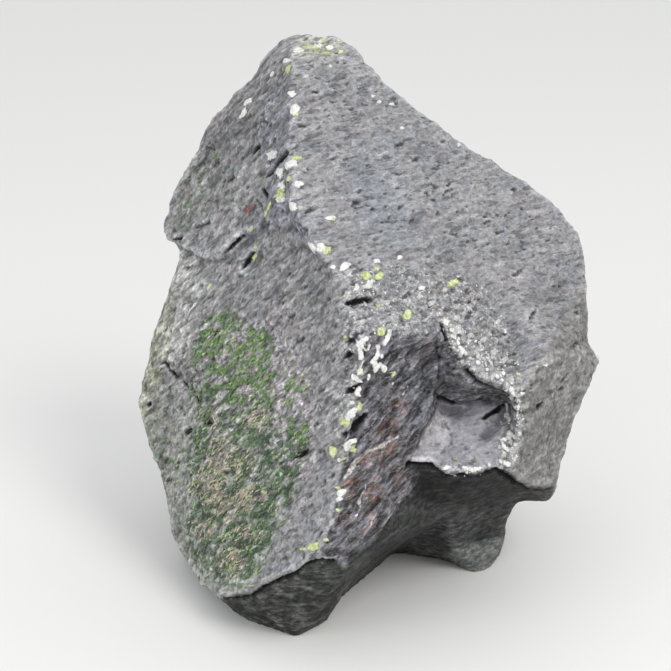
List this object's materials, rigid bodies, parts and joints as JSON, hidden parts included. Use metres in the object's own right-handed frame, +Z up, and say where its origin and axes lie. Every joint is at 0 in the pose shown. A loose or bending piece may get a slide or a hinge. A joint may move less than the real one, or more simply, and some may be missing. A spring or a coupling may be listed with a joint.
{
  "type": "moss-covered rock",
  "caption": "Angular weathered boulder with a broken notch and ledge, lichen spots along its ridge and thin moss on its shaded face; rests on a flat underside.",
  "frame": {"origin": "middle of the bounding box's bottom face, on the surface that the rock stands on", "axes": "+Z up, +X to the right and +Y to the back as seen facing the long ridge"},
  "size_m": [0.6058, 0.5536, 0.6992],
  "materials": {
    "weathered_stone": "matte",
    "moss": "matte",
    "dry_leaf": "matte"
  },
  "bodies": {
    "root": {"rock": "weathered_stone", "moss_bank": "moss", "moss_islet_high": "moss", "moss_islet_low": "moss", "moss_fringe": "moss", "leaf_scrap": "dry_leaf"}
  },
  "joints": []
}
